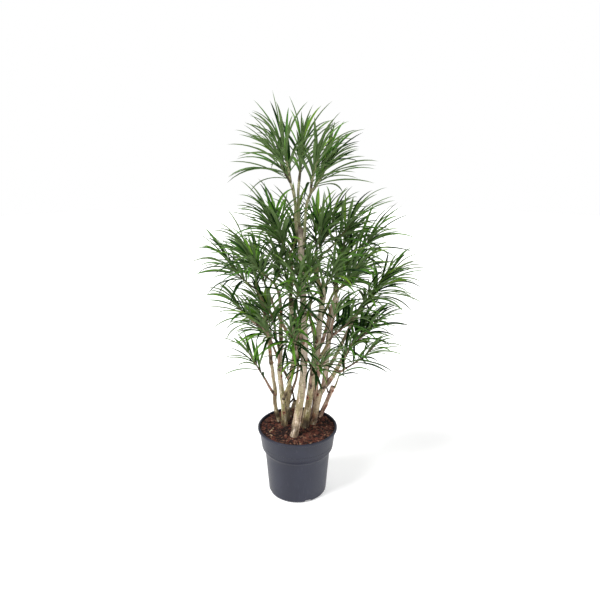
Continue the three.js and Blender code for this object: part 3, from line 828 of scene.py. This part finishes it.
def placeMass(name, side, reach, height, tufts, carrier, leaves, boughGirth):
    bearing = math.radians(side)
    outward = np.array([math.cos(bearing), math.sin(bearing), 0])
    heart = outward * reach + np.array([0, 0, height])
    heading = unit(np.array([0, 0, 1]) + outward * (growth["leastLean"] + reach * growth["leanPerMetre"]))
    foot = heart - heading * growth["stemBelowHeart"]
    return {"name": name, "tier": name.split("_")[0], "heart": heart, "heading": heading, "foot": foot,
            "tufts": tufts, "fork": foot + heading * growth["forkAboveFoot"], "carrier": limbs[carrier],
            "leaves": leaves, "boughGirth": boughGirth}


def boughLimb(mass, seed):
    path = curvedPath(sideControls(mass["carrier"], mass["leaves"], mass["foot"], mass["heading"]))
    old = mass["leaves"] < growth["oldWoodHeight"]
    bark = mass["carrier"]["bark"] if old else "pale" if mass["tier"] == "top" else "young"
    knots = makeKnots(path, seed) if old else ()
    return limbOf("bough", path, mass["boughGirth"], seed, bark=bark, knots=knots)


# The stem of a mass grows from the end of its bough, or straight from the limb that carries it
def stemLimb(mass, seed):
    girth = growth["stemGirth"]
    if mass["boughGirth"] is None:
        path = curvedPath(sideControls(mass["carrier"], mass["leaves"], mass["fork"], mass["heading"]))
        return limbOf("stem", path, (growth["stemFoot"] * girth, girth), seed, tier=mass["tier"])
    path = curvedPath([mass["foot"] - growth["overlap"] * mass["heading"], mass["fork"]], 12)
    return limbOf("stem", path, (girth, girth), seed + 3, tier=mass["tier"], flare=0)


placed = []
stems = []
for number, (name, row) in enumerate(masses.items()):
    mass = placeMass(name, *row)
    placed.append(mass)
    stems.append(stemLimb(mass, seedFor("bough", number)))
    if mass["boughGirth"] is None:
        continue
    bough = boughLimb(mass, seedFor("bough", number))
    limbs["bough_" + name] = bough
    materials = [barks[bough["bark"]], cutFace]
    addPiece("barkedBough_" + name, limbMesh(bough), materials, ["bough_" + name],
             smoothing["bark"])
print("boughs grown,", len(limbs) - len(canes))


# Tufts: each has a shoot, and narrow arching leaves a golden angle apart along it

leafShape = {
    "length": 0.208, "width": 0.0114, "thickness": 0.0007, "channel": 0.28, "rows": 9, "shadedRows": 2,
    "perTuft": {"top": 29, "upper": 29, "middle": 29, "low": 24, "lowest": 19}, "moreOrFewer": 3,
    "leafyLength": 0.105, "leastStart": 0.12, "lastRoot": 0.985, "turnSpread": 0.2,
    "oldTilt": 0.98, "youngTilt": 0.22, "tiltPower": 0.8, "tiltSpread": 0.2,
    "oldDroop": 1.06, "youngDroop": 0.9, "droopSpread": 0.4, "youngLength": 0.84, "lowLength": 0.76,
    "fullHeights": (0.6, 1.05), "shortest": 0.72, "longest": 1.1, "twist": 0.9, "sweep": 0.5,
    "bendPower": 1.35, "topStiffness": 0.82, "topLength": 1.16, "topTilt": 0.84, "lowestStiffness": 0.78,
    "youngNarrower": 0.18, "widths": (0.78, 1.16), "footWidth": 0.44, "widestFrom": 0.5, "tipShare": 0.42,
    "tipPower": 0.72,
}
topLeaf = {"mass": "top_left", "length": 0.180, "droop": 0.12, "heading": (-0.13, 0, 1)}  # it stands upright
room = {"space": -0.045, "limb": 0.007, "box": 0.004}
bareSpots = {  # boxes that leaves keep out of, where limbs stay in view
    "tall_cut": {"centre": (0.006, -0.04, 1.046), "half": (0.022, 0.11, 0.04)},
    "right_canes": {"centre": (0.106, -0.11, 0.705), "half": (0.026, 0.11, 0.048)},
}
tries = [(1, 1), (0.86, 0.85), (0.72, 0.7), (0.58, 0.6)]  # a leaf that doesn't fit gets shorter and steeper
goldenAngle = math.pi * (3 - math.sqrt(5))
hearts = np.array([mass["heart"] for mass in placed])
rng = random.Random(77)


def picks(low, high, count):
    return np.array([rng.uniform(low, high) for _ in range(count)])


def tuftShoot(mass, turn, lift, seed):
    spread = growth["tuftSpread"] * (1 if mass["tufts"] > 1 else 0)
    sideways = np.array([math.cos(turn), math.sin(turn), 0])
    heading = mass["heading"]
    start = mass["fork"] - heading * growth["overlap"]
    tip = mass["heart"] + heading * lift + sideways * spread
    first = start + heading * growth["splayHeight"] + sideways * spread / 2
    second = tip - heading * growth["tipPull"]
    stoutness = growth["topStoutness"] if mass["tier"] == "top" else 1
    girths = [stoutness * girth for girth in growth["shootGirth"]]
    return limbOf("shoot", curvedPath([start, first, second, tip], 40), girths, seed, tier=mass["tier"])


# Half width of a leaf along its length, as a share: a narrow base, a broad middle, a long drawn tip
def leafWidths(shares):
    shape = leafShape
    rising = np.sin(np.clip(shares / shape["widestFrom"], 0, 1) * math.pi / 2)
    falling = np.clip((1 - shares) / shape["tipShare"], 0, 1) ** shape["tipPower"]
    return np.minimum(shape["footWidth"] + (1 - shape["footWidth"]) * rising, falling)


# Lines of many leaves at once: their points and headings, row by row
def leafLines(roots, headings, lengths, droops, sweeps):
    rows = leafShape["rows"]
    level = headings * np.array([1, 1, 0])
    level /= np.linalg.norm(level, axis=1, keepdims=True)
    rise = np.arcsin(np.clip(headings[:, 2], -1, 1))
    points = [roots]
    ways = []
    for row in range(rows + 1):
        share = row / rows
        angle = rise - droops * share ** leafShape["bendPower"]
        turn = sweeps * share
        turned = np.stack([level[:, 0] * np.cos(turn) - level[:, 1] * np.sin(turn),
                           level[:, 0] * np.sin(turn) + level[:, 1] * np.cos(turn), 0 * turn], axis=1)
        way = turned * np.cos(angle)[:, None]
        way[:, 2] = np.sin(angle)
        ways.append(way)
        if row < rows:
            points.append(points[-1] + way * (lengths / rows)[:, None])
    return np.stack(points, axis=1), np.stack(ways, axis=1)


limbPoints = np.concatenate([limb["path"][::3] for limb in limbs.values()])
limbRadii = np.concatenate([[max(limb["girth"]) / 2] * len(limb["path"][::3]) for limb in limbs.values()])
lowBox = np.array(cadBox[0]) - room["box"]
highBox = np.array(cadBox[1]) + room["box"]


# True for each leaf that keeps near its mass's own space, clear of the limbs and inside the frame's box
def leavesFit(points, mass):
    others = np.linalg.norm(hearts - mass["heart"], axis=1) > 1e-6
    flat = points.reshape(-1, 3)
    toOwn = ((flat - mass["heart"]) ** 2).sum(axis=1)[:, None]
    toOthers = ((flat[:, None, :] - hearts[others][None]) ** 2).sum(axis=2)
    apart = 2 * np.linalg.norm(hearts[others] - mass["heart"], axis=1)
    inSpace = (((toOthers - toOwn) / apart).min(axis=1) > room["space"]).reshape(points.shape[:2]).all(axis=1)
    body = points[:, 2:].reshape(-1, 3)
    away = np.linalg.norm(body[:, None, :] - limbPoints[None], axis=2) - limbRadii
    clear = (away.min(axis=1) > room["limb"]).reshape(len(points), -1).all(axis=1)
    inBox = ((points > lowBox) & (points < highBox)).all(axis=(1, 2))
    fits = inSpace & clear & inBox
    for spot in bareSpots.values():
        fits &= (np.abs(points - spot["centre"]) > spot["half"]).any(axis=2).all(axis=1)
    return fits


# Leaves low on the plant stay shorter
def lengthAt(height):
    low, high = leafShape["fullHeights"]
    share = min(1, max(0, (height - low) / (high - low)))
    return leafShape["lowLength"] + (1 - leafShape["lowLength"]) * share


# Directions square to each axis, turned round it
def squareTo(axes, turns):
    outward = np.stack([np.cos(turns), np.sin(turns), 0 * turns], axis=1)
    outward -= axes * (outward * axes).sum(axis=1, keepdims=True)
    return outward / np.linalg.norm(outward, axis=1, keepdims=True)


# The leaves of one tuft, from the old low spreading ones to the young steep ones
def tuftLeaves(mass, shoot, isFirst):
    shape = leafShape
    more = shape["moreOrFewer"]
    count = shape["perTuft"][mass["tier"]] + rng.randint(-more, more)
    start = max(shape["leastStart"], 1 - shape["leafyLength"] / pathLength(shoot["path"]))
    firstTurn = rng.uniform(0, 2 * math.pi)
    young = np.linspace(0, 1, count)
    turns = firstTurn + goldenAngle * np.arange(count)
    turns += picks(-shape["turnSpread"], shape["turnSpread"], count)
    tilts = shape["oldTilt"] + (shape["youngTilt"] - shape["oldTilt"]) * young ** shape["tiltPower"]
    tilts += picks(-shape["tiltSpread"], shape["tiltSpread"], count)
    droops = shape["oldDroop"] + (shape["youngDroop"] - shape["oldDroop"]) * young
    droops += picks(-shape["droopSpread"], shape["droopSpread"], count)
    lengths = shape["length"] * (1 - (1 - shape["youngLength"]) * young) * lengthAt(mass["heart"][2])
    lengths *= picks(shape["shortest"], shape["longest"], count)
    if mass["tier"] == "top":
        droops *= shape["topStiffness"]
        tilts *= shape["topTilt"]
        lengths *= 1 + (shape["topLength"] - 1) * (1 - young)
    if mass["tier"] == "lowest":
        droops *= shape["lowestStiffness"]
    sweeps = picks(-1, 1, count) * shape["sweep"]
    twists = picks(-1, 1, count) * shape["twist"]
    roots = start + (shape["lastRoot"] - start) * young
    axes = np.array([tangentAt(shoot["path"], root) for root in roots])
    outward = squareTo(axes, turns)
    centres = np.array([pointAt(shoot["path"], root) for root in roots])
    isTop = isFirst and mass["name"] == topLeaf["mass"]
    if isTop:
        droops[-1] = topLeaf["droop"]
        lengths[-1] = topLeaf["length"]
    done = np.zeros(count, bool)
    points = np.zeros((count, shape["rows"] + 1, 3))
    ways = np.zeros_like(points)
    for shorter, steeper in tries:
        angles = (tilts * steeper)[:, None]
        headings = axes * np.cos(angles) + outward * np.sin(angles)
        if isTop:
            headings[-1] = unit(np.array(topLeaf["heading"], float))
        newPoints, newWays = leafLines(centres, headings, lengths * shorter, droops, sweeps)
        takes = ~done & leavesFit(newPoints, mass)
        points[takes] = newPoints[takes]
        ways[takes] = newWays[takes]
        done |= takes
    widths = shape["width"] * (1 - shape["youngNarrower"] * young) * picks(*shape["widths"], count)
    return {"points": points[done], "ways": ways[done], "widths": widths[done], "twists": twists[done],
            "young": young[done], "height": mass["heart"][2]}


rowPoints = 4  # left edge, channel, right edge and keel


# Skins of a tuft's leaves: the four points of each row, from the root up, and then the tip
def leafSkins(tuft):
    shape = leafShape
    rows = shape["rows"]
    shares = np.linspace(0, 1, rows + 1)
    ways = tuft["ways"]
    sideways = np.stack([-ways[..., 1], ways[..., 0], 0 * ways[..., 0]], axis=-1)
    sideways /= np.linalg.norm(sideways, axis=-1, keepdims=True)
    above = np.cross(ways, sideways)
    twist = (tuft["twists"][:, None] * shares)[..., None]
    side = sideways * np.cos(twist) + above * np.sin(twist)
    above = above * np.cos(twist) - sideways * np.sin(twist)
    half = (tuft["widths"][:, None] * leafWidths(shares) / 2)[..., None]
    raised = above * half * shape["channel"] * 2
    left = tuft["points"] + side * half + raised
    right = tuft["points"] - side * half + raised
    keel = tuft["points"] - above * shape["thickness"]
    skins = np.stack([left, tuft["points"], right, keel], axis=2)[:, :rows]
    tips = tuft["points"][:, -1]
    return np.concatenate([skins.reshape(len(tips), -1, 3), tips[:, None]], axis=1)


# Faces of one leaf: two upper and two lower ones in each row up to the tip, then the root's
def leafFaces():
    rows = leafShape["rows"]
    faces = []
    for row in range(rows):
        for corner in range(rowPoints):
            here = rowPoints * row + corner
            beside = rowPoints * row + (corner + 1) % rowPoints
            if row < rows - 1:
                faces.append((here, beside, beside + rowPoints, here + rowPoints))
            else:
                faces.append((here, beside, rowPoints * rows))
    faces.append((3, 2, 1, 0))
    isUpper = [corner < 2 for row in range(rows) for corner in range(rowPoints)] + [False]
    return faces, isUpper


leafTones = {  # base, clouds and roughness, from the lightest green to the deepest, which is partly painted shade, then the underside
    "leafFresh": ((114, 147, 52), (96, 131, 42), 0.42), "leafBright": ((98, 142, 48), (80, 124, 38), 0.42),
    "leafMiddle": ((82, 126, 48), (64, 108, 38), 0.42), "leafDeepPaintedShade": ((28, 58, 17), (18, 42, 12), 0.42),
    "leafUnderside": ((104, 128, 78), (82, 106, 60), 0.6),
}
leafGreens = [leafSkin(name, *tones) for name, tones in leafTones.items()]
undersideIndex = len(leafGreens) - 1
deepestShaded = undersideIndex - 1
greening = {"byAge": 0.4, "paintedLightByHeight": 0.08, "luck": (-0.46, 0.56), "steps": 4}


# The green of each leaf follows its age, and the height of its tuft, which is painted light: higher tufts get
# lighter greens
def leafGreen(young, height):
    light = greening["byAge"] * young + greening["paintedLightByHeight"] * height + rng.uniform(*greening["luck"])
    return min(deepestShaded, max(0, deepestShaded - int(light * greening["steps"])))


# The last thin leaves of the right stub's green shoot: way out and up, length and droop
lastLeaves = {
    "root": (0.165, 0.088, 0.444), "width": 0.0105, "twist": 0.3, "young": 0.7, "height": 0.5,
    "leaves": [((0.93, -0.06, 0.42), 0.085, 0.75), ((0.80, 0.02, 0.62), 0.150, 1.5),
               ((0.35, -0.2, 0.9), 0.045, 0.5)],
}


def lastTuft(settings):
    headings = np.array([unit(np.array(way)) for way, _, _ in settings["leaves"]])
    lengths = np.array([length for _, length, _ in settings["leaves"]])
    droops = np.array([droop for _, _, droop in settings["leaves"]])
    still = np.zeros(len(lengths))
    roots = np.repeat(np.array([settings["root"]]), len(lengths), axis=0)
    points, ways = leafLines(roots, headings, lengths, droops, still)
    return {"points": points, "ways": ways, "widths": still + settings["width"],
            "twists": still + settings["twist"], "young": still + settings["young"],
            "height": settings["height"]}


# Short tufts in the gaps between the canes: limb, height on it, way out, reach, leaves and their length
sideTufts = {
    "left_gap": ("cane_left_forked", 0.585, (0.55, -0.8, 0.5), 0.060, 11, 0.135),
    "left_gap_low": ("cane_tall", 0.530, (-0.75, -0.55, 0.6), 0.045, 8, 0.115),
    "middle_gap": ("cane_middle", 0.505, (-0.2, -0.9, 0.55), 0.055, 11, 0.135),
    "right_gap": ("bough_low_far_right", 0.560, (0.1, -0.5, 0.85), 0.060, 12, 0.135),
    "right_gap_back": ("bough_low_back_right", 0.560, (0.3, 0.1, 0.9), 0.060, 11, 0.135),
    "trunk_front": ("cane_tall", 0.875, (-0.25, -0.85, 0.5), 0.060, 13, 0.150),
    "trunk_low": ("cane_tall", 0.735, (0.3, -0.85, 0.45), 0.055, 12, 0.145),
}
sideShape = {
    "rise": 0.2, "girth": (0.005, 0.0036), "oldTilt": 1.15, "tiltFall": 0.7, "lengths": (0.75, 1.1),
    "droop": 1.3, "droopSpread": 0.4, "sweep": 0.5, "firstRoot": 0.45, "rootSpan": 0.53,
    "widths": (0.7, 0.95),
}


def sideTuft(limb, height, way, reach, count, length, seed):
    shape = sideShape
    path = limbs[limb]["path"]
    root = pointAt(path, shareAtHeight(path, height))
    way = unit(np.array(way))
    tip = root + way * reach + np.array([0, 0, shape["rise"] * reach])
    path = curvedPath([root, root + way * reach / 2, tip], 20)
    young = np.linspace(0, 1, count)
    turns = rng.uniform(0, 2 * math.pi) + goldenAngle * np.arange(count)
    tilts = (shape["oldTilt"] - shape["tiltFall"] * young)[:, None]
    headings = way * np.cos(tilts) + squareTo(way, turns) * np.sin(tilts)
    lengths = length * picks(*shape["lengths"], count)
    droops = shape["droop"] + picks(-shape["droopSpread"], shape["droopSpread"], count)
    sweeps = picks(-shape["sweep"], shape["sweep"], count)
    roots = np.array([pointAt(path, shape["firstRoot"] + shape["rootSpan"] * age) for age in young])
    points, ways = leafLines(roots, headings, lengths, droops, sweeps)
    widths = leafShape["width"] * picks(*shape["widths"], count)
    shoot = limbOf("shoot", path, shape["girth"], seed, tier="low")
    return shoot, {"points": points, "ways": ways, "widths": widths, "twists": sweeps, "young": young,
                   "height": root[2]}


def foliagePiece(name, tufts, nodes):
    faces, isUpper = leafFaces()
    shadedFaces = rowPoints * leafShape["shadedRows"]
    verts = []
    allFaces = []
    indices = []
    base = 0
    for tuft in tufts:
        for skin, young in zip(leafSkins(tuft), tuft["young"]):
            green = leafGreen(young, tuft["height"])
            verts.append(skin)
            allFaces += [tuple(base + corner for corner in face) for face in faces]
            # Painted shade: the rows at the root of each leaf, in the heart of the tuft, take the next deeper
            # green
            heart = min(deepestShaded, green + 1)
            indices += [undersideIndex if not upper else heart if spot < shadedFaces else green
                        for spot, upper in enumerate(isUpper)]
            base += len(skin)
    mesh = meshOf(name, np.concatenate(verts).tolist(), allFaces, indices)
    placePiece(name, mesh, leafGreens, nodes, smoothing["leaf"])


tiers = {"top": [], "upper": [], "middle": [], "low": [], "lowest": []}
shoots = []
leafCount = 0
for number, mass in enumerate(placed):
    firstTurn = rng.uniform(0, 2 * math.pi)
    for tuft in range(mass["tufts"]):
        lift = rng.uniform(growth["lowestTip"], growth["highestTip"])
        if tuft == 0:
            lift = growth["highestTip"]
        turn = firstTurn + tuft * 2 * math.pi / mass["tufts"]
        shoot = tuftShoot(mass, turn, lift, seedFor("shoot", number) + tuft)
        shoots.append(shoot)
        leaves = tuftLeaves(mass, shoot, tuft == 0)
        leafCount += len(leaves["points"])
        tiers[mass["tier"]].append(leaves)
tiers["lowest"].append(lastTuft(lastLeaves))
for number, row in enumerate(sideTufts.values()):
    shoot, leaves = sideTuft(*row, seedFor("side", number))
    shoots.append(shoot)
    tiers["low"].append(leaves)
for tier, tufts in tiers.items():
    nodes = ["leaves_" + mass["name"] for mass in placed if mass["tier"] == tier]
    foliagePiece(tier + "Foliage", tufts, nodes)
print("leaves grown,", leafCount, "on", len(shoots), "shoots")

# Thin twigs, most of them dead, with a last green shoot on the right stub: bark, girth and points
twigs = {
    "left_stub": ("dead", (0.0086, 0.0046), [
        (-0.011, 0.080, 0.338), (-0.017, 0.078, 0.368), (-0.026, 0.080, 0.413)]),
    "left_stub_crossing": ("dead", (0.0086, 0.0056), [
        (-0.013, 0.080, 0.352), (-0.024, 0.070, 0.345), (-0.035, 0.064, 0.334)]),
    "right_stub": ("dead", (0.0078, 0.0052), [
        (0.134, 0.086, 0.374), (0.122, 0.080, 0.380), (0.118, 0.078, 0.398)]),
    "right_stub_shoot": ("young", (0.0078, 0.0058), [
        (0.148, 0.088, 0.392), (0.158, 0.088, 0.420), (0.166, 0.088, 0.448)]),
    "left_cane": ("dead", (0.0056, 0.003), [
        (-0.092, 0.040, 0.395), (-0.099, 0.026, 0.404), (-0.101, 0.018, 0.412)]),
}
for number, (name, (bark, girth, way)) in enumerate(twigs.items()):
    twig = limbOf("twig", splinePath(way, 60), girth, seedFor("twig", number), cut=True)
    addPiece("twig_" + name, limbMesh(twig), [barks[bark], cutFace], [], smoothing["bark"])
print("twigs grown,", len(twigs))

shootKinds = {  # bark, and the tiers whose stems and shoots have it
    "topShoots": ("pale", ("top",)), "greenShoots": ("green", ("upper", "middle")),
    "lowShoots": ("brown", ("low", "lowest")),
}
for kind, (bark, group) in shootKinds.items():
    parts = [limbMesh(limb) for limb in stems + shoots if limb["tier"] in group]
    addPiece(kind, joined(parts), [barks[bark], cutFace], [], smoothing["bark"])
print("stems and shoots grown,", len(stems) + len(shoots))


# Soil: a low uneven bed of bark mulch, chips and crumbs

soilShape = {"floor": 0.0123, "edge": soilTop, "rings": 26, "turns": 96, "swell": 0.0035, "clearance": 0.0003}
bedNoise = {  # waves a metre, depth into the noise and strength
    "wide": (22, 3.1, 0.75), "fine": (95, 8.4, 0.35), "patches": (22, 5.2, 2.6),
}
chips = {"count": 1900, "length": (0.005, 0.017), "width": (0.003, 0.008), "height": (0.0015, 0.0045),
         "tilt": 0.5, "inset": 0.006, "bevel": 0.16, "lift": 0.6, "leastDark": 0.1,
         "kinds": (46, 40, 13, 0.9)}  # how likely each mulch is, the dark one first
crumbs = {"count": 1700, "size": (0.0014, 0.0036), "inset": 0.004, "axis": (0.6, 0.5, 0.62),
          "length": (0.8, 1.9), "height": (0.6, 1), "lift": 0.7, "kinds": (44, 38, 15, 3)}
shaking = {"amount": 0.35, "fineness": 2.3, "spread": 50}
innerRadius = wallRadius(soilShape["edge"]) - potShape["wall"] - soilShape["clearance"]


def unevenBed(x, y, kind):
    fineness, depth, strength = bedNoise[kind]
    return strength * noise.noise(Vector((x * fineness, y * fineness, depth)))


def soilHeight(x, y):
    return soilShape["edge"] + soilShape["swell"] * (unevenBed(x, y, "wide") + unevenBed(x, y, "fine"))


def makeSoil():
    heights = [soilShape["floor"], *wallHeights]
    side = [(wallRadius(height) - potShape["wall"] - soilShape["clearance"], height) for height in heights]
    radii = np.linspace(innerRadius, 0, soilShape["rings"])
    top = [(radius, soilShape["edge"]) for radius in radii]
    bm = turned([(0, soilShape["floor"])] + side + top, soilShape["turns"])
    for vert in bm.verts:
        if vert.co.z > soilShape["edge"] - soilShape["clearance"]:
            vert.co.z = soilHeight(vert.co.x, vert.co.y)
    peat = mulch("darkPeat", (64, 44, 36), (36, 24, 20), (92, 66, 52))
    addPiece("mulchBed", bm, [peat], ["soil"], smoothing["turned"])


# Size, turn and place of a chip, and how likely each mulch is there
def layChip(x, y):
    size = [rng.uniform(*chips[key]) for key in ("length", "width", "height")]
    turn = Matrix.Rotation(rng.uniform(0, math.pi), 4, "Z")
    tilt = Matrix.Rotation(rng.uniform(-1, 1) * chips["tilt"], 4, "Y")
    roll = Matrix.Rotation(rng.uniform(-1, 1) * chips["tilt"], 4, "X")
    lift = soilHeight(x, y) + rng.uniform(0, chips["lift"]) * size[2]
    dark, *others = chips["kinds"]
    patch = max(chips["leastDark"], 1 + unevenBed(x, y, "patches"))
    matrix = Matrix.Translation((x, y, lift)) @ turn @ tilt @ roll @ Matrix.Diagonal((*size, 1))
    return matrix, (dark * patch, *others)


def layCrumb(x, y):
    size = rng.uniform(*crumbs["size"]) / 2
    turn = Matrix.Rotation(rng.uniform(0, math.pi), 4, crumbs["axis"])
    length = size * rng.uniform(*crumbs["length"])
    height = size * rng.uniform(*crumbs["height"])
    place = Matrix.Translation((x, y, soilHeight(x, y) + size * crumbs["lift"]))
    return place @ turn @ Matrix.Diagonal((length, size, height, 1)), crumbs["kinds"]


# Copies of a small shape all over the bed, laid and shaken each in its own way, joined in one mesh
def strew(name, template, settings, layOne):
    template.verts.index_update()
    laid = []
    for _ in range(settings["count"]):
        radius = (innerRadius - settings["inset"]) * math.sqrt(rng.random())
        turn = rng.uniform(0, 2 * math.pi)
        matrix, weights = layOne(radius * math.cos(turn), radius * math.sin(turn))
        laid.append((matrix, rng.choices(range(len(mulches)), weights)[0]))
    verts = []
    faces = []
    for matrix, _ in laid:
        base = len(verts)
        start = Vector((rng.uniform(0, shaking["spread"]), 0, 0))
        for corner in template.verts:
            shake = 1 + shaking["amount"] * noise.noise(corner.co * shaking["fineness"] + start)
            verts.append(matrix @ (corner.co * shake))
        faces += [[base + corner.index for corner in face.verts] for face in template.faces]
    indices = [kind for _, kind in laid for _ in template.faces]
    template.free()
    placePiece(name, meshOf(name, verts, faces, indices), mulches, [], smoothing["chip"])


makeSoil()
mulches = [
    mulch("darkMulch", (44, 29, 27), (26, 17, 16), (72, 50, 43)),
    mulch("redMulch", (96, 53, 42), (58, 31, 26), (130, 80, 62)),
    mulch("brownMulch", (122, 86, 68), (74, 50, 40), (160, 122, 100)),
    mulch("paleWood", (168, 140, 112), (134, 108, 84), (192, 168, 140)),
]
chip = bmesh.new()
bmesh.ops.create_cube(chip, size=1)
bmesh.ops.bevel(chip, geom=chip.edges[:], offset=chips["bevel"], segments=1, profile=0.5,
                affect="EDGES", material=-1)
strew("barkChips", chip, chips, layChip)
crumb = bmesh.new()
bmesh.ops.create_icosphere(crumb, subdivisions=1, radius=1)
strew("peatCrumbs", crumb, crumbs, layCrumb)
print("soil laid")


# Floor

def makeFloor():
    bm = bmesh.new()
    bmesh.ops.create_circle(bm, cap_ends=True, radius=floorSize["radius"], segments=floorSize["sides"])
    mesh = meshFrom(bm, "paleFloor")
    finish = Finish("paleFloor", (250, 250, 250), roughness=0.8, specular=0.2)
    clouds = finish.effect(unevenness, Across=2, Along=2, Detail=2, Low=0.3, High=0.7)
    finish.tint(clouds, (247, 247, 247))
    finish.shader.inputs["Emission Color"].default_value = (1.0, 1.0, 1.0, 1.0)
    finish.shader.inputs["Emission Strength"].default_value = floorSize["glow"]
    mesh.materials.append(finish.material)
    floor = addObject("paleFloor", mesh)


makeFloor()
